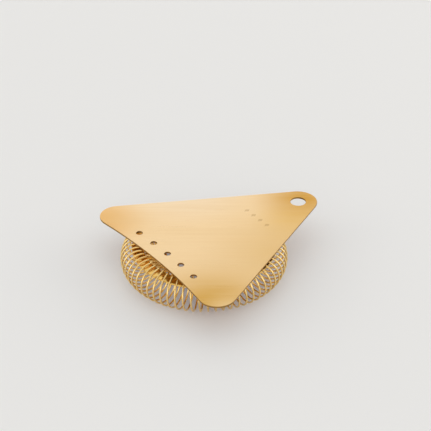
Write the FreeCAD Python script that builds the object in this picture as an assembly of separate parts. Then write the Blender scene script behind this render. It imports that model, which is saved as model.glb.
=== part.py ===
import FreeCAD, Part
import logging
import math
import os
from dataclasses import dataclass

log = logging.getLogger("strainer")
V = FreeCAD.Vector

# ---------------------------------------------------------------------------
# Driving dimensions, mm.  Frame: the origin is where the axis of the spring
# ring meets the surface the strainer stands on, +X to the handle, +Z up.
# ---------------------------------------------------------------------------
PLATE_LENGTH = 101.5        # pour corners to handle tip
PLATE_WIDTH = 104.4         # across the two pour corners
PLATE_T = 1.0
PLATE_EDGE_R = 0.22         # broken edge all round
HANDLE_R = 9.8
EAR_R = 9.25
POUR_DIP = 2.9              # how far the pour edge curves in at its middle
RING_OFFSET = 32.2          # pour corners to the axis of the spring ring

HANG_HOLE_D = 8.0
POUR_HOLE_D = 3.3
POUR_HOLES = 5
POUR_HOLE_PITCH = 11.75
POUR_HOLE_INSET = 7.2       # from the pour edge, at its middle
HOLE_EDGE_R = 0.15

WIRE_D = 0.9
COIL_R = 8.4                # wire centre line to the middle of the coil
RING_R = 33.1               # middle of the coil to the ring axis
COIL_PITCHES = 65           # turns that would fill the whole circle
COIL_TURNS = 64             # turns wound; the two ends leave a gap of one pitch
ARCS_PER_TURN = 8           # even: the arcs come in tangent pairs

COIL_TO_PLATE = 0.3         # air between the coil and the plate
CARRIER_W = 5.8             # flat width of the carrier ring
CARRIER_T = 1.0
CARRIER_DROP = 3.0          # underside of the plate to the top of the carrier

STUD_D = 2.6
STUD_TIP_D = 1.6
STUD_FIT = 0.05             # air round a stud's tip in its lug
STUD_HEAD_D = 2.6
STUD_HEAD_T = 0.4

COIL_TO_LUG = 0.4           # air on each side of a neck that passes between two turns
LUG_ROOT = 0.6              # how far a neck runs into the ring
LUG_PAD_RIM = 1.35          # metal round the stud's hole in a pad
COIL_TO_STUD = 0.95         # least air between the coil's bore and a stud
REAR_GAP = 2                # rear lugs: whole pitches from the centre line
FRONT_GAP = 2.5             # front lugs: pitches from the centre line

MARKS = 4                   # row of plain lozenges pressed into the plate
MARK_X = 33.0
MARK_PITCH = 5.6
MARK_L = 3.4
MARK_W = 2.6
MARK_DEPTH = 0.14

# ---------------------------------------------------------------------------
# Derived
# ---------------------------------------------------------------------------
PITCH = 360.0 / COIL_PITCHES
COIL_Z = COIL_R + WIRE_D / 2.0
COIL_TOP = 2.0 * COIL_Z
COIL_BORE_R = RING_R - COIL_Z
CARRIER_OR = RING_R + CARRIER_W / 2.0
CARRIER_IR = RING_R - CARRIER_W / 2.0
STUD_HOLE_D = STUD_TIP_D + 2.0 * STUD_FIT
LUG_PAD_R = STUD_HOLE_D / 2.0 + LUG_PAD_RIM
LUG_R = COIL_BORE_R - COIL_TO_STUD - STUD_D / 2.0
PLATE_Z = COIL_TOP + COIL_TO_PLATE
CARRIER_TOP = PLATE_Z - CARRIER_DROP
CARRIER_Z = CARRIER_TOP - CARRIER_T
LUG_RISE = (CARRIER_TOP + CARRIER_Z) / 2.0 - COIL_Z
LUG_CROSS_R = RING_R - math.sqrt(COIL_R ** 2 - LUG_RISE ** 2)   # where a neck meets the turns
LUG_W = math.radians(PITCH) * LUG_CROSS_R - WIRE_D - 2.0 * COIL_TO_LUG
POUR_X = -RING_OFFSET
HANDLE_X = POUR_X + PLATE_LENGTH - HANDLE_R
EAR_X = POUR_X + EAR_R
EAR_Y = PLATE_WIDTH / 2.0 - EAR_R


@dataclass(frozen=True)
class Corner:
    """One rounded corner of the plate: centre and radius."""

    x: float
    y: float
    r: float

    def at(self, angle: float) -> FreeCAD.Vector:
        """Return the point on the corner at this angle, in radians."""
        return V(self.x + self.r * math.cos(angle), self.y + self.r * math.sin(angle), PLATE_Z)


HANDLE = Corner(HANDLE_X, 0.0, HANDLE_R)
EAR = Corner(EAR_X, EAR_Y, EAR_R)


def pour_circle() -> tuple[float, float]:
    """Return the radius and centre x of the circle the pour edge lies on.

    The edge curves in, so its circle lies outside the plate and touches both
    rounded ears from outside.
    """
    middle = POUR_X + POUR_DIP
    reach = EAR.x - middle
    radius = (EAR.y ** 2 + reach ** 2 - EAR.r ** 2) / (2.0 * (EAR.r - reach))
    return radius, middle - radius


POUR_R, POUR_CX = pour_circle()


def side_angle() -> float:
    """Return the direction of the normal shared by the handle and the ear."""
    dx, dy = HANDLE.x - EAR.x, -EAR.y
    span = math.hypot(dx, dy)
    return math.atan2(dy, dx) + math.acos((EAR.r - HANDLE.r) / span)


def mirrored(p: FreeCAD.Vector) -> FreeCAD.Vector:
    """Return the point on the other side of the centre plane."""
    return V(p.x, -p.y, p.z)


def prism(wires: list, height: float) -> Part.Shape:
    """Return the solid of the first wire, less the rest, pulled up."""
    outer = Part.Face(wires[0]).extrude(V(0, 0, height))
    for wire in wires[1:]:
        outer = outer.cut(Part.Face(wire).extrude(V(0, 0, height)))
    return outer


def circle_wire(x: float, y: float, z: float, r: float) -> Part.Wire:
    """Return a level circle as a wire."""
    return Part.Wire([Part.makeCircle(r, V(x, y, z))])


def pour_hole_centres() -> list[tuple[float, float]]:
    """Return the pour holes' centres, in a row that follows the pour edge."""
    row = POUR_R + POUR_HOLE_INSET
    out = []
    for i in range(POUR_HOLES):
        y = (i - (POUR_HOLES - 1) / 2.0) * POUR_HOLE_PITCH
        out.append((POUR_CX + math.sqrt(row ** 2 - y ** 2), y))
    return out


def lozenge(x: float, y: float) -> Part.Shape:
    """Return a shallow four-sided point, its base on the top of the plate."""
    top = PLATE_Z + PLATE_T
    tip = V(x, y, top - MARK_DEPTH)
    rim = [V(x + MARK_L / 2.0, y, top), V(x, y + MARK_W / 2.0, top),
           V(x - MARK_L / 2.0, y, top), V(x, y - MARK_W / 2.0, top)]
    faces = [Part.Face(Part.makePolygon(rim + rim[:1]))]
    faces += [Part.Face(Part.makePolygon([a, b, tip, a])) for a, b in zip(rim, rim[1:] + rim[:1])]
    shell = Part.Shell(faces)
    shell.sewShape()
    solid = Part.Solid(shell)
    if solid.Volume < 0:
        solid.reverse()
    return solid


def top_plate() -> Part.Shape:
    """Build the three-cornered plate with its holes and its row of lozenges."""
    a = side_angle()
    touch = math.atan2(-EAR.y, POUR_CX - EAR.x)
    h0, h1 = HANDLE.at(a), mirrored(HANDLE.at(a))
    e0, e1 = EAR.at(a), EAR.at(touch)
    em = EAR.at((a + touch + 2 * math.pi) / 2.0)
    mid = V(POUR_CX + POUR_R, 0, PLATE_Z)
    edges = [
        Part.Arc(h1, HANDLE.at(0.0), h0).toShape(),
        Part.makeLine(h0, e0),
        Part.Arc(e0, em, e1).toShape(),
        Part.Arc(e1, mid, mirrored(e1)).toShape(),
        Part.Arc(mirrored(e1), mirrored(em), mirrored(e0)).toShape(),
        Part.makeLine(mirrored(e0), h1),
    ]
    plate = Part.Face(Part.Wire(edges)).extrude(V(0, 0, PLATE_T))
    plate = plate.makeFillet(PLATE_EDGE_R, [
        e for e in plate.Edges
        if abs(e.BoundBox.ZMax - e.BoundBox.ZMin) < 1e-6
    ])
    cutters = [(HANDLE.x, 0.0, HANG_HOLE_D / 2.0)]
    cutters += [(x, y, POUR_HOLE_D / 2.0) for x, y in pour_hole_centres()]
    for x, y, r in cutters:
        hole = Part.makeCylinder(r, PLATE_T, V(x, y, PLATE_Z))
        for z, s in ((PLATE_Z, 1.0), (PLATE_Z + PLATE_T, -1.0)):
            rim = Part.makeCone(r + HOLE_EDGE_R, r, HOLE_EDGE_R, V(x, y, z), V(0, 0, s))
            hole = hole.fuse(rim)
        plate = plate.cut(hole)
    for i in range(MARKS):
        plate = plate.cut(lozenge(MARK_X, (i - (MARKS - 1) / 2.0) * MARK_PITCH))
    return plate


def lug_angles() -> list[float]:
    """Return the four lug directions, degrees, each between two turns.

    The necks cross the coil on its inner side, where the turns have moved on
    by the angle wound since the top of the coil.
    """
    wound = math.degrees(math.acos(LUG_RISE / COIL_R))
    shift = -wound / COIL_PITCHES
    rear = REAR_GAP * PITCH
    front = FRONT_GAP * PITCH
    return [rear + shift, -rear + shift, 180.0 - front + shift, 180.0 + front + shift]


def polar(r: float, degrees: float, z: float = 0.0) -> FreeCAD.Vector:
    """Return a point from its distance and direction from the ring axis."""
    a = math.radians(degrees)
    return V(r * math.cos(a), r * math.sin(a), z)


def carrier_ring() -> Part.Shape:
    """Build the flat ring the coil is threaded on, with its four inner lugs."""
    ring = prism([circle_wire(0, 0, CARRIER_Z, CARRIER_OR),
                  circle_wire(0, 0, CARRIER_Z, CARRIER_IR)], CARRIER_T)
    for angle in lug_angles():
        neck = Part.makeBox(CARRIER_IR + LUG_ROOT - LUG_R, LUG_W, CARRIER_T,
                            V(LUG_R, -LUG_W / 2.0, CARRIER_Z))
        pad = Part.makeCylinder(LUG_PAD_R, CARRIER_T, V(LUG_R, 0, CARRIER_Z))
        hole = Part.makeCylinder(STUD_HOLE_D / 2.0, CARRIER_T, V(LUG_R, 0, CARRIER_Z))
        lug = neck.fuse(pad).cut(hole)
        lug.rotate(V(0, 0, 0), V(0, 0, 1), angle)
        ring = ring.fuse(lug)
    return ring.removeSplitter()


def stud(angle: float) -> Part.Shape:
    """Build one stud: shoulder, tip through the lug, and staked head."""
    r = LUG_R
    profile = [
        V(0, 0, PLATE_Z), V(STUD_D / 2.0, 0, PLATE_Z), V(STUD_D / 2.0, 0, CARRIER_TOP),
        V(STUD_TIP_D / 2.0, 0, CARRIER_TOP), V(STUD_TIP_D / 2.0, 0, CARRIER_Z),
        V(STUD_HEAD_D / 2.0, 0, CARRIER_Z),
        V(STUD_HEAD_D / 2.0 - STUD_HEAD_T / 2.0, 0, CARRIER_Z - STUD_HEAD_T),
        V(0, 0, CARRIER_Z - STUD_HEAD_T), V(0, 0, PLATE_Z),
    ]
    body = Part.Face(Part.makePolygon(profile)).revolve(V(0, 0, 0), V(0, 0, 1), 360)
    at = polar(r, angle)
    body.translate(at)
    return body


@dataclass(frozen=True)
class Knot:
    """A point on the wire's centre line and the direction of travel there."""

    p: FreeCAD.Vector
    t: FreeCAD.Vector


def knot(turn: float) -> Knot:
    """Return the centre line at this many turns from the first end.

    The wire starts at the top of the coil, goes round it right-handed, and
    moves round the ring by one pitch in each turn.
    """
    q = math.pi / 2.0 - 2.0 * math.pi * turn
    a = math.radians(PITCH * (turn + 0.5))
    r = RING_R + COIL_R * math.cos(q)
    er, et = V(math.cos(a), math.sin(a), 0), V(-math.sin(a), math.cos(a), 0)
    p = er * r + V(0, 0, COIL_Z + COIL_R * math.sin(q))
    dq, da = -2.0 * math.pi, math.radians(PITCH)
    t = er * (-COIL_R * math.sin(q) * dq) + et * (r * da) + V(0, 0, COIL_R * math.cos(q) * dq)
    return Knot(p, t.normalize())


def pair(k0: Knot, k1: Knot) -> list[tuple[Knot, FreeCAD.Vector]]:
    """Return two tangent arcs from one knot to the next, as start and end."""
    v = k1.p - k0.p
    s = k0.t + k1.t
    a = 2.0 * (1.0 - k0.t.dot(k1.t))
    b = 2.0 * v.dot(s)
    d = (-b + math.sqrt(b * b + 4.0 * a * v.dot(v))) / (2.0 * a)
    q0, q1 = k0.p + k0.t * d, k1.p - k1.t * d
    mid = Knot((q0 + q1) * 0.5, (q1 - q0).normalize())
    return [(k0, mid.p), (mid, k1.p)]


def coil_spring() -> Part.Shape:
    """Build the wire as torus faces, one per arc, closed by two flat ends."""
    half = ARCS_PER_TURN // 2
    knots = [knot(i / half) for i in range(COIL_TURNS * half + 1)]
    arcs = [arc for k0, k1 in zip(knots, knots[1:]) for arc in pair(k0, k1)]
    first = arcs[0][0]
    side = first.t.cross(V(0, 0, 1)).cross(first.t).normalize()
    faces = []
    caps = []
    for start, end in arcs:
        chord = end - start.p
        along = chord.dot(start.t)
        lean = chord - start.t * along
        across = lean.Length
        m = lean * (1.0 / across)
        radius = chord.dot(chord) / (2.0 * across)
        turn = 2.0 * math.atan2(across, along)
        centre, axis = start.p + m * radius, start.t.cross(m)
        ring = section(start, side)
        if not caps:
            caps.append(Part.Face(Part.Wire([ring])))
        faces.append(ring.revolve(centre, axis, math.degrees(turn)))
        spin = FreeCAD.Rotation(axis, math.degrees(turn))
        side = spin.multVec(side)
        tail = Knot(end, spin.multVec(start.t))
    caps.append(Part.Face(Part.Wire([section(tail, side)])))
    shell = Part.Shell([f for face in faces for f in face.Faces] + caps)
    shell.sewShape()
    solid = Part.Solid(shell)
    if solid.Volume < 0:
        solid.reverse()
    log.info("coil faces %d volume %.1f valid %s", len(solid.Faces), solid.Volume, solid.isValid())
    return solid


def section(at: Knot, side: FreeCAD.Vector) -> Part.Edge:
    """Return the wire's round section at a knot, its seam on the given side."""
    up = at.t.cross(side)
    m = FreeCAD.Matrix(side.x, up.x, at.t.x, at.p.x,
                       side.y, up.y, at.t.y, at.p.y,
                       side.z, up.z, at.t.z, at.p.z, 0, 0, 0, 1)
    edge = Part.makeCircle(WIRE_D / 2.0)
    edge.Placement = FreeCAD.Placement(m)
    return edge


def export(name: str, shape: Part.Shape) -> None:
    """Write one node's solid to its own file."""
    if shape.ShapeType == "Compound" and len(shape.Solids) == 1:
        shape = shape.Solids[0]
    log.info("%s: %s, %.1f mm3, valid %s", name, shape.ShapeType, shape.Volume, shape.isValid())
    shape.exportStep(os.path.join("parts", name + ".step"))


def main() -> None:
    """Build every node and write it."""
    os.makedirs("parts", exist_ok=True)
    export("top_plate", top_plate())
    export("carrier_ring", carrier_ring())
    names = ("stud_rear_left", "stud_rear_right", "stud_front_left", "stud_front_right")
    for name, angle in zip(names, lug_angles()):
        export(name, stud(angle))
    export("coil_spring", coil_spring())


logging.basicConfig(level=logging.INFO, format="%(message)s")
main()
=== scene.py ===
import logging
import math
from dataclasses import dataclass
from enum import Enum

import bpy
from mathutils import Matrix, Vector


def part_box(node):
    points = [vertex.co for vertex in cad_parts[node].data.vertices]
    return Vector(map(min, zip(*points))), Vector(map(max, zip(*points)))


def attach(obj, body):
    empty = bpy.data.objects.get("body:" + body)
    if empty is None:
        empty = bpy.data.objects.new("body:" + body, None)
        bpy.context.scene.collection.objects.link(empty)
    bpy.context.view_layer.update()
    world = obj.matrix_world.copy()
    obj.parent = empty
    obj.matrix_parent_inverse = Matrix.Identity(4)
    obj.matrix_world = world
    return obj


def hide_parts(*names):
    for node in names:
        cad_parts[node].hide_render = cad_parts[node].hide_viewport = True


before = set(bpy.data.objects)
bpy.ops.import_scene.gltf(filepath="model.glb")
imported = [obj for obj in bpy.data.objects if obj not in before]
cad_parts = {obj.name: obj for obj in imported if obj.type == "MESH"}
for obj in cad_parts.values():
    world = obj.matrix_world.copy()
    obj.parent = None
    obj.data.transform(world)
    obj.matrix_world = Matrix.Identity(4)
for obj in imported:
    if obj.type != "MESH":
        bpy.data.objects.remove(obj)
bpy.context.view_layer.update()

log = logging.getLogger("strainer")

MM = 0.001
RGB = tuple[float, float, float]
Place = tuple[float, float, float]
Pair = tuple[float, float]
Socket = bpy.types.NodeSocket


class Body(Enum):
    """The rigid bodies that the pieces ride on."""

    STRAINER = "strainer"
    SPRING = "spring"


class Slot(Enum):
    """The record's finishes."""

    PLATE = "plate"
    CARRIER = "carrier"
    STUD = "stud"
    WIRE = "wire"


class Maths(Enum):
    """What a Math node does."""

    ADD = "ADD"
    SUBTRACT = "SUBTRACT"
    MULTIPLY = "MULTIPLY"
    DIVIDE = "DIVIDE"
    SINE = "SINE"
    COSINE = "COSINE"


class Mixed(Enum):
    """What a Mix node mixes: its data type, and the numbers of its two inputs and of its output."""

    NUMBERS = ("FLOAT", 2, 3, 0)
    COLOURS = ("RGBA", 6, 7, 2)


# ---------------------------------------------------------------------------
# Building node trees
# ---------------------------------------------------------------------------
class Graph:
    """A node tree, and a short way to add its nodes and link them."""

    def __init__(self, tree: bpy.types.NodeTree) -> None:
        """Take a tree to build in.

        Args:
            tree: the node tree of a material or of a shape.
        """
        self.tree = tree

    def feed(self, socket: Socket, value: object) -> None:
        """Link a socket to an output, or set it to a value.

        Args:
            socket: the input to feed.
            value: an output socket, or a plain value. A colour is given as its three parts, and is opaque.
        """
        if isinstance(value, Socket):
            self.tree.links.new(value, socket)
        elif socket.type == "RGBA":
            socket.default_value = (*value, 1.0)
        else:
            socket.default_value = value

    def add(self, kind: str, inputs: dict | None = None, **settings: object) -> bpy.types.Node:
        """Add a node.

        Args:
            kind: the node's type name.
            inputs: values or output sockets by input name or number.
            **settings: the node's own settings.

        Returns:
            The new node.
        """
        node = self.tree.nodes.new(kind)
        for key, value in settings.items():
            setattr(node, key, value)
        for key, value in (inputs or {}).items():
            self.feed(node.inputs[key], value)
        return node

    def calc(self, how: Maths, a: object, b: object = 0.0) -> Socket:
        """Work out one step of arithmetic.

        Args:
            how: the operation.
            a: its first number.
            b: its second number, where it takes two.

        Returns:
            The result's socket.
        """
        return self.add("ShaderNodeMath", {0: a, 1: b}, operation=how.value).outputs[0]


class Nodes(Graph):
    """A material's node tree, around its shader."""

    def __init__(self, name: str) -> None:
        """Start a new material.

        Args:
            name: the material's name.
        """
        self.material = bpy.data.materials.new(name)
        self.material.use_nodes = True
        super().__init__(self.material.node_tree)
        self.shader = self.tree.nodes["Principled BSDF"]

    def place(self) -> Socket:
        """Return the object coordinates."""
        return self.add("ShaderNodeTexCoord").outputs["Object"]

    def height(self) -> Socket:
        """Return the height above the floor, in metres."""
        return self.add("ShaderNodeSeparateXYZ", {0: self.place()}).outputs["Z"]

    def away(self, middle: Place) -> Socket:
        """Measure how far the surface is from a place.

        Args:
            middle: the place, in metres.

        Returns:
            The distance's socket, in metres.
        """
        node = self.add("ShaderNodeVectorMath", {0: self.place(), 1: middle}, operation="DISTANCE")
        return node.outputs["Value"]

    def scaled(self, scale: Place, turn: float) -> Socket:
        """Turn the object coordinates about Z, then scale them.

        Args:
            scale: the three scales after the turn.
            turn: the turn, in degrees.

        Returns:
            The coordinates' socket.
        """
        turned = self.add("ShaderNodeMapping", {
            "Vector": self.place(), "Rotation": (0, 0, math.radians(turn))})
        return self.add("ShaderNodeMapping", {"Vector": turned.outputs[0], "Scale": scale}).outputs[0]

    def noise(self, vector: Socket, detail: float, scale: float = 1.0) -> Socket:
        """Add a noise.

        Args:
            vector: the coordinates that it follows.
            detail: how many finer layers lie on it.
            scale: how fine it is.

        Returns:
            The noise's socket, from 0 to 1.
        """
        node = self.add("ShaderNodeTexNoise", {"Vector": vector, "Scale": scale, "Detail": detail})
        return node.outputs["Fac"]

    def spread(self, value: Socket, low: float, high: float, at: Pair = (0.0, 1.0),
               smooth: bool = False) -> Socket:
        """Move a value from one range to another.

        Args:
            value: the value to move.
            low: the result at the old range's start and before it.
            high: the result at the old range's end and past it.
            at: the old range.
            smooth: whether the result eases in and out.

        Returns:
            The result's socket.
        """
        node = self.add("ShaderNodeMapRange", {
            "Value": value, "From Min": at[0], "From Max": at[1], "To Min": low, "To Max": high})
        if smooth:
            node.interpolation_type = "SMOOTHSTEP"
        return node.outputs["Result"]

    def mix(self, share: Socket, a: object, b: object, kind: Mixed = Mixed.COLOURS) -> Socket:
        """Mix two colours or two numbers.

        Args:
            share: the second one's share, from 0 to 1.
            a: the first one.
            b: the second one.
            kind: what they are.

        Returns:
            The result's socket.
        """
        data_type, first, second, result = kind.value
        node = self.add("ShaderNodeMix", {0: share, first: a, second: b}, data_type=data_type)
        return node.outputs[result]

    def bump(self, height: Socket, distance: float, strength: float) -> Socket:
        """Bend the surface's normal by a height.

        Args:
            height: the height, from 0 to 1.
            distance: how high 1 is, in metres.
            strength: the share of the bend that is kept.

        Returns:
            The normal's socket.
        """
        node = self.add("ShaderNodeBump", {"Height": height, "Distance": distance, "Strength": strength})
        return node.outputs["Normal"]

    def finish(self, **inputs: object) -> bpy.types.Material:
        """Set the shader's inputs.

        Args:
            **inputs: values or output sockets by input name, its spaces written as underscores.

        Returns:
            The material.
        """
        for key, value in inputs.items():
            self.feed(self.shader.inputs[key.replace("_", " ")], value)
        return self.material


class Shaper(Graph):
    """A Geometry Nodes tree that makes one piece from named sizes."""

    def __init__(self, name: str) -> None:
        """Start a tree with one geometry output.

        Args:
            name: the name of the tree and of the piece that it makes.
        """
        super().__init__(bpy.data.node_groups.new(name, "GeometryNodeTree"))
        self.name = name
        self.tree.interface.new_socket("Geometry", in_out="OUTPUT", socket_type="NodeSocketGeometry")
        self.values: dict[str, object] = {}
        self.given = self.add("NodeGroupInput")

    def size(self, name: str, value: float | int | bpy.types.Material) -> Socket:
        """Add a named input.

        Args:
            name: the input's name.
            value: its value: a length or number, a count, or a material.

        Returns:
            The socket that carries it inside the tree.
        """
        kinds = {float: "NodeSocketFloat", int: "NodeSocketInt"}
        kind = kinds.get(type(value), "NodeSocketMaterial")
        item = self.tree.interface.new_socket(name, in_out="INPUT", socket_type=kind)
        self.values[item.identifier] = value
        return self.given.outputs[name]

    def make(self, shape: Socket, finish: Socket) -> bpy.types.Object:
        """End the tree and turn its result into a plain mesh object.

        Args:
            shape: the geometry to keep.
            finish: the socket that carries its material.

        Returns:
            The new object, at the origin, with no modifier left on it.
        """
        real = self.add("GeometryNodeRealizeInstances", {"Geometry": shape})
        dressed = self.add("GeometryNodeSetMaterial", {"Geometry": real.outputs[0], "Material": finish})
        self.add("NodeGroupOutput", {0: dressed.outputs[0]})
        holder = bpy.data.objects.new(self.name, bpy.data.meshes.new(self.name))
        bpy.context.scene.collection.objects.link(holder)
        modifier = holder.modifiers.new("shape", "NODES")
        modifier.node_group = self.tree
        for key, value in self.values.items():
            modifier[key] = value
        graph = bpy.context.evaluated_depsgraph_get()
        mesh = bpy.data.meshes.new_from_object(holder.evaluated_get(graph))
        mesh.name = self.name
        holder.modifiers.remove(modifier)
        holder.data = mesh
        for polygon in mesh.polygons:
            polygon.use_smooth = True
        return holder


# ---------------------------------------------------------------------------
# Finishes
# ---------------------------------------------------------------------------
@dataclass(frozen=True)
class ReflectionPatch:
    """A soft round patch of painted reflection: its middle from above, its reach and its middle's colour."""

    middle: Pair
    reach: float
    colour: RGB


@dataclass(frozen=True)
class SatinGold:
    """Brushed pale gold sheet between two heights.

    Broad painted reflections make it paler and warmer in places; painted shade darkens it where it is cut and
    in the pressed row, and makes it darker and warmer underneath.
    """

    top: float
    bottom: float
    base: RGB = (0.98, 0.72, 0.41)
    # Painted reflections: broad soft spots, paler or darker amber, that stand for what the sheet mirrors.
    reflection_patches: tuple[ReflectionPatch, ...] = (
        ReflectionPatch((48 * MM, -14 * MM), 27 * MM, (0.87, 0.55, 0.16)),
        ReflectionPatch((64 * MM, 2 * MM), 30 * MM, (0.69, 0.35, 0.03)),
        ReflectionPatch((-30 * MM, -50 * MM), 45 * MM, (0.66, 0.35, 0.02)),
        ReflectionPatch((-26 * MM, -58 * MM), 20 * MM, (0.92, 0.66, 0.33)),
        ReflectionPatch((-34 * MM, 44 * MM), 31 * MM, (0.87, 0.50, 0.16)),
        ReflectionPatch((22 * MM, 48 * MM), 46 * MM, (1.00, 0.83, 0.62)),
        ReflectionPatch((28 * MM, -38 * MM), 54 * MM, (0.83, 0.55, 0.22)),
    )
    grain: RGB = (0.86, 0.60, 0.30)
    grain_turn: float = 36.0
    streak_scale: Place = (25.0, 1300.0, 25.0)
    streak_share: float = 0.20
    broad_scale: Place = (22.0, 170.0, 22.0)
    broad_share: float = 0.26
    line_range: Pair = (0.35, 0.75)
    streak_height: float = 0.004 * MM
    streak_strength: float = 0.25
    streak_rough: Pair = (0.27, 0.41)
    rough_range: Pair = (0.3, 0.7)
    cloud_scale: float = 42.0
    cloud_rough: float = 0.03
    # Painted shade: a dark brown laid on the cut edges and their fillets.
    edge_shade: RGB = (0.36, 0.20, 0.06)
    edge_start: float = 0.02 * MM
    edge_end: float = 0.12 * MM
    row_middle: Pair = (33 * MM, 0.0)
    row_reach: float = 14 * MM
    row_fade: float = 2 * MM
    row_start: float = 0.002 * MM
    row_end: float = 0.012 * MM
    # Painted shade in the pressed row of lozenges.
    row_shade: float = 0.36
    # Painted shade: the underside is darker and warmer than the top.
    underside_shade: RGB = (0.74, 0.47, 0.17)
    underside_shade_rise: float = 0.05 * MM

    def on_top(self, middle: Pair) -> Place:
        """Return a place on the top face."""
        return (*middle, self.top)

    def with_reflection_patches(self, n: Nodes) -> Socket:
        """Lay every patch of painted reflection over the base colour.

        Args:
            n: the material's nodes.

        Returns:
            The colour's socket.
        """
        colour: object = self.base
        for patch in self.reflection_patches:
            # Each patch is a painted reflection laid over the base colour.
            share = n.spread(n.away(self.on_top(patch.middle)), 1.0, 0.0, (0.0, patch.reach), smooth=True)
            colour = n.mix(share, colour, patch.colour)
        return colour

    def shade_below_top(self, n: Nodes) -> Socket:
        """Find the share of painted shade at a point for lying below the top face: on the cut edges, and
        faintly and at once in the pressed row.

        Args:
            n: the material's nodes.

        Returns:
            The painted shade's share, from 0 to 1.
        """
        height = n.height()
        edge = n.spread(height, 1.0, 0.0, (self.top - self.edge_end, self.top - self.edge_start), smooth=True)
        row = n.spread(height, self.row_shade, 0.0, (self.top - self.row_end, self.top - self.row_start))
        outside = n.spread(n.away(self.on_top(self.row_middle)), 0.0, 1.0,
                           (self.row_reach, self.row_reach + self.row_fade))
        return n.mix(outside, row, edge, Mixed.NUMBERS)

    def build(self) -> bpy.types.Material:
        """Lay the grain over the painted reflections, then paint shade on the cut faces, the pressed row and
        the underside.

        Returns:
            The material.
        """
        n = Nodes("satin_gold_sheet")
        streak = n.noise(n.scaled(self.streak_scale, self.grain_turn), detail=3.0)
        broad = n.noise(n.scaled(self.broad_scale, self.grain_turn), detail=2.0)
        cloud = n.noise(n.place(), detail=3.0, scale=self.cloud_scale)
        lines = n.calc(Maths.ADD, n.spread(streak, 0.0, self.streak_share, self.line_range),
                       n.spread(broad, 0.0, self.broad_share, self.line_range))
        # The grain lies over the base colour and its painted reflections.
        colour = n.mix(lines, self.with_reflection_patches(n), self.grain)
        # Painted shade on the cut edges and in the pressed row.
        colour = n.mix(self.shade_below_top(n), colour, self.edge_shade)
        # Painted shade on the underside.
        underside_shade_share = n.spread(n.height(), 1.0, 0.0, (self.bottom, self.bottom + self.underside_shade_rise))
        colour = n.mix(underside_shade_share, colour, self.underside_shade)
        rough = n.calc(Maths.ADD, n.spread(streak, *self.streak_rough, self.rough_range),
                       n.spread(cloud, -self.cloud_rough, self.cloud_rough))
        normal = n.bump(streak, self.streak_height, self.streak_strength)
        return n.finish(Base_Color=colour, Metallic=1.0, Roughness=rough, Normal=normal)


@dataclass(frozen=True)
class DrawnGold:
    """Bright gold: drawn wire or polished pressings, with faint draw lines and tarnish."""

    name: str = "bright_gold_wire"
    bright: RGB = (0.96, 0.69, 0.28)
    dull: RGB = (0.74, 0.49, 0.14)
    rough: float = 0.14
    line_scale: float = 900.0
    line_range: Pair = (0.3, 0.7)
    line_smoother: float = 0.03
    line_rougher: float = 0.06
    line_height: float = 0.006 * MM
    line_strength: float = 0.4
    spot_scale: float = 260.0
    spot_range: Pair = (0.45, 0.8)
    dull_share: float = 0.45
    dull_rougher: float = 0.12

    def build(self) -> bpy.types.Material:
        """Lay draw lines and spots of tarnish over the bright metal.

        Returns:
            The material.
        """
        n = Nodes(self.name)
        fine = n.noise(n.place(), detail=3.0, scale=self.line_scale)
        spots = n.noise(n.place(), detail=2.0, scale=self.spot_scale)
        tarnish = n.spread(spots, 0.0, self.dull_share, self.spot_range, smooth=True)
        lined = n.spread(fine, self.rough - self.line_smoother, self.rough + self.line_rougher,
                         self.line_range)
        rough = n.calc(Maths.ADD, lined, n.spread(tarnish, 0.0, self.dull_rougher))
        normal = n.bump(fine, self.line_height, self.line_strength)
        return n.finish(Base_Color=n.mix(tarnish, self.bright, self.dull), Metallic=1.0,
                        Roughness=rough, Normal=normal)


@dataclass(frozen=True)
class PaleFloor:
    """Matt pale floor, faintly uneven in tone, that glows a little."""

    colour: RGB = (0.833, 0.785, 0.708)
    speck: RGB = (0.77, 0.72, 0.65)
    speck_scale: float = 3.0
    speck_share: float = 0.02
    rough: float = 0.85
    gloss: float = 0.15
    glow: RGB = (0.44, 0.66, 1.0)
    glow_strength: float = 0.16

    def build(self) -> bpy.types.Material:
        """Mix the floor's two tones.

        Returns:
            The material.
        """
        n = Nodes("pale_floor")
        tone = n.spread(n.noise(n.place(), detail=2.0, scale=self.speck_scale), 0.0, self.speck_share)
        return n.finish(Base_Color=n.mix(tone, self.colour, self.speck), Roughness=self.rough,
                        Specular_IOR_Level=self.gloss, Emission_Color=self.glow,
                        Emission_Strength=self.glow_strength)


# ---------------------------------------------------------------------------
# The strainer's sub-assemblies
# ---------------------------------------------------------------------------
@dataclass(frozen=True)
class Piece:
    """A finished piece, the body that it rides on and the slot that its finish stands for."""

    item: bpy.types.Object
    body: Body
    slot: Slot


def dress(node: str, material: bpy.types.Material, slot: Slot) -> Piece:
    """Give every face of a carried-over CAD node one material.

    Args:
        node: the node's name.
        material: the material.
        slot: the slot that the material stands for.

    Returns:
        The dressed piece, on the strainer's body.
    """
    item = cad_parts[node]
    item.data.materials.clear()
    item.data.materials.append(material)
    return Piece(item, Body.STRAINER, slot)


@dataclass
class Plate:
    """The three-cornered top plate and its row of plain lozenges."""

    node: str = "top_plate"

    def build(self) -> list[Piece]:
        """Dress the plate between its own bottom and top faces.

        Returns:
            The plate.
        """
        low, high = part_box(self.node)
        finish = SatinGold(top=high.z, bottom=low.z)
        return [dress(self.node, finish.build(), Slot.PLATE)]


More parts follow.
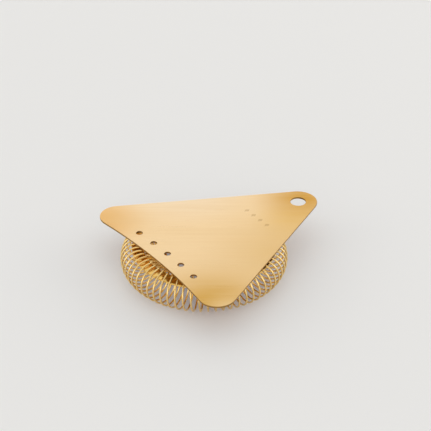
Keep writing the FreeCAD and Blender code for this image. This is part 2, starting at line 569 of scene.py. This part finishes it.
@dataclass
class Carrier:
    """The flat ring inside the coil, and the studs that hold it to the plate."""

    ring: str = "carrier_ring"
    ring_finish: DrawnGold = DrawnGold(
        name="polished_gold_ring", bright=(1.0, 0.66, 0.19), dull=(0.66, 0.36, 0.08), rough=0.16)
    studs: tuple[str, ...] = ("stud_rear_left", "stud_rear_right", "stud_front_left", "stud_front_right")
    stud_finish: DrawnGold = DrawnGold(
        name="polished_gold_stud", bright=(0.85, 0.60, 0.30), dull=(0.55, 0.34, 0.12), rough=0.2)

    def build(self) -> list[Piece]:
        """Dress the ring and the studs.

        Returns:
            The ring, then the studs.
        """
        ring = dress(self.ring, self.ring_finish.build(), Slot.CARRIER)
        metal = self.stud_finish.build()
        return [ring, *(dress(stud, metal, Slot.STUD) for stud in self.studs)]


@dataclass
class SpringRing:
    """The coil spring: one right-handed wire wound round a ring, its two ends a pitch apart across +X."""

    wire_r: float = 0.45 * MM
    coil_r: float = 8.4 * MM
    ring_r: float = 33.1 * MM
    pitches: int = 65
    turns: int = 64
    first_pitch: float = 0.5
    steps: int = 56
    sides: int = 12
    finish: DrawnGold = DrawnGold()

    def path(self, s: Shaper) -> Socket:
        """Wind the wire's centre line, from the top of its first turn.

        Args:
            s: the tree to build it in.

        Returns:
            The curve's socket.
        """
        ring, coil = s.size("Ring radius", self.ring_r), s.size("Coil radius", self.coil_r)
        wire, turns = s.size("Wire radius", self.wire_r), s.size("Turns", self.turns)
        pitches, steps = s.size("Pitches", self.pitches), s.size("Steps per turn", self.steps)
        count = s.calc(Maths.ADD, s.calc(Maths.MULTIPLY, turns, steps), 1.0)
        line = s.add("GeometryNodeMeshLine", {"Count": count})
        curve = s.add("GeometryNodeMeshToCurve", {"Mesh": line.outputs[0]})
        turn = s.calc(Maths.DIVIDE, s.add("GeometryNodeInputIndex").outputs[0], steps)
        wound = s.calc(Maths.SUBTRACT, math.pi / 2.0, s.calc(Maths.MULTIPLY, turn, math.tau))
        pitch = s.calc(Maths.DIVIDE, math.tau, pitches)
        round_ring = s.calc(Maths.MULTIPLY, pitch, s.calc(Maths.ADD, turn, self.first_pitch))
        out = s.calc(Maths.ADD, ring, s.calc(Maths.MULTIPLY, coil, s.calc(Maths.COSINE, wound)))
        middle = s.calc(Maths.ADD, coil, wire)
        at = s.add("ShaderNodeCombineXYZ", {
            "X": s.calc(Maths.MULTIPLY, out, s.calc(Maths.COSINE, round_ring)),
            "Y": s.calc(Maths.MULTIPLY, out, s.calc(Maths.SINE, round_ring)),
            "Z": s.calc(Maths.ADD, middle, s.calc(Maths.MULTIPLY, coil, s.calc(Maths.SINE, wound)))})
        placed = s.add("GeometryNodeSetPosition", {"Geometry": curve.outputs[0], "Position": at.outputs[0]})
        return placed.outputs[0]

    def build(self) -> list[Piece]:
        """Sweep the wire's round section along its centre line.

        Returns:
            The spring, in the CAD coil's place.
        """
        s = Shaper("coil_spring_wire")
        curve = self.path(s)
        sides, metal = s.size("Sides", self.sides), s.size("Finish", self.finish.build())
        radius = s.given.outputs["Wire radius"]
        section = s.add("GeometryNodeCurvePrimitiveCircle", {"Resolution": sides, "Radius": radius})
        tube = s.add("GeometryNodeCurveToMesh", {"Curve": curve, "Profile Curve": section.outputs[0],
                                                 "Fill Caps": True})
        spring = s.make(tube.outputs[0], metal)
        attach(spring, Body.SPRING.value)
        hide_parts("coil_spring")
        return [Piece(spring, Body.SPRING, Slot.WIRE)]


# ---------------------------------------------------------------------------
# Studio
# ---------------------------------------------------------------------------
@dataclass
class Camera:
    """A long lens aimed a little above and right of its focus.

    The lens and the sensor are in millimetres, the angles in degrees, and the aim in shares of the distance.
    """

    focus: Place = (5.53 * MM, 0.0, 19 * MM)
    distance: float = 925.4 * MM
    elevation: float = 33.646
    turn: float = 35.751
    aim_right: float = 0.001394
    aim_up: float = 0.010747
    lens: float = 154.59
    sensor: float = 36.0
    nearest: float = 0.05
    farthest: float = 20.0

    def build(self) -> None:
        """Place the camera, aim it and make it the scene's own."""
        data = bpy.data.cameras.new("camera")
        data.sensor_width = self.sensor
        data.lens = self.lens
        data.clip_start, data.clip_end = self.nearest, self.farthest
        el, az = math.radians(self.elevation), math.radians(self.turn)
        back = Vector((-math.sin(az) * math.cos(el), -math.cos(az) * math.cos(el), math.sin(el)))
        look = (-back).to_track_quat("-Z", "Y").to_matrix()
        right, up = look @ Vector((1, 0, 0)), look @ Vector((0, 1, 0))
        place = Vector(self.focus) + back * self.distance
        aim = right * self.aim_right + up * self.aim_up - back
        camera = bpy.data.objects.new("camera", data)
        camera.matrix_world = Matrix.Translation(place) @ aim.to_track_quat("-Z", "Y").to_matrix().to_4x4()
        bpy.context.scene.collection.objects.link(camera)
        bpy.context.scene.camera = camera


@dataclass(frozen=True)
class Lamp:
    """A soft lamp: its name, its place, its width and height, and its watts."""

    name: str
    place: Place
    size: Pair
    watts: float

    def build(self, aim: Place) -> None:
        """Hang the lamp.

        Args:
            aim: the place that it faces.
        """
        data = bpy.data.lights.new(self.name, "AREA")
        data.shape = "RECTANGLE"
        data.size, data.size_y = self.size
        data.energy = self.watts
        lamp = bpy.data.objects.new(self.name, data)
        lamp.location = self.place
        lamp.rotation_mode = "QUATERNION"
        lamp.rotation_quaternion = (Vector(aim) - Vector(self.place)).to_track_quat("-Z", "Y")
        bpy.context.scene.collection.objects.link(lamp)


@dataclass
class Studio:
    """Pale floor, even pale surroundings and soft lamps. Its low lamps light the coil from every side."""

    surround: RGB = (1.0, 0.995, 0.975)
    surround_strength: float = 0.56
    floor: PaleFloor = PaleFloor()
    floor_size: float = 6.0
    floor_drop: float = 0.2 * MM
    lamp_aim: Place = (0.0, 0.0, 10 * MM)
    lamps: tuple[Lamp, ...] = (
        Lamp("overhead", (0.0, 0.0, 2.2), (3.0, 3.0), 7.0),
        Lamp("back_card", (0.96, 1.34, 1.15), (2.2, 1.5), 3.15),
        Lamp("side_left", (-1.38, 0.99, 1.3), (1.2, 1.2), 1.2),
        Lamp("low_left", (-1.3, 0.55, 0.42), (1.6, 0.8), 3.2),
        Lamp("low_back", (0.35, 1.3, 0.30), (2.8, 0.56), 3.4),
        Lamp("low_right", (1.2, -0.45, 0.42), (1.6, 0.8), 4.8),
        Lamp("low_front", (-0.75, -1.05, 0.42), (1.6, 0.8), 3.2),
    )

    def light_surroundings(self) -> None:
        """Light the scene evenly from all round, with its colours shown plainly."""
        scene = bpy.context.scene
        scene.view_settings.view_transform = "Standard"
        scene.view_settings.look = "None"
        scene.world = bpy.data.worlds.new("studio")
        scene.world.use_nodes = True
        background = scene.world.node_tree.nodes["Background"]
        background.inputs["Color"].default_value = (*self.surround, 1.0)
        background.inputs["Strength"].default_value = self.surround_strength

    def lay_floor(self) -> None:
        """Lay the floor a hair below the strainer."""
        half = self.floor_size / 2.0
        mesh = bpy.data.meshes.new("floor")
        mesh.from_pydata([(-half, -half, 0), (half, -half, 0), (half, half, 0), (-half, half, 0)],
                         [], [(0, 1, 2, 3)])
        mesh.materials.append(self.floor.build())
        floor = bpy.data.objects.new("floor", mesh)
        floor.location.z = -self.floor_drop
        bpy.context.scene.collection.objects.link(floor)

    def build(self) -> None:
        """Light the surroundings, lay the floor and hang the lamps."""
        self.light_surroundings()
        self.lay_floor()
        for lamp in self.lamps:
            lamp.build(self.lamp_aim)


def main() -> None:
    """Build the camera and the studio, then the strainer, and report each of its pieces."""
    logging.basicConfig(level=logging.INFO, format="%(message)s")
    Camera().build()
    Studio().build()
    for assembly in (Plate(), Carrier(), SpringRing()):
        for piece in assembly.build():
            log.info("%s: %d faces, on the %s body, %s finish", piece.item.name,
                     len(piece.item.data.polygons), piece.body.value, piece.slot.value)


if __name__ == "__main__":
    main()
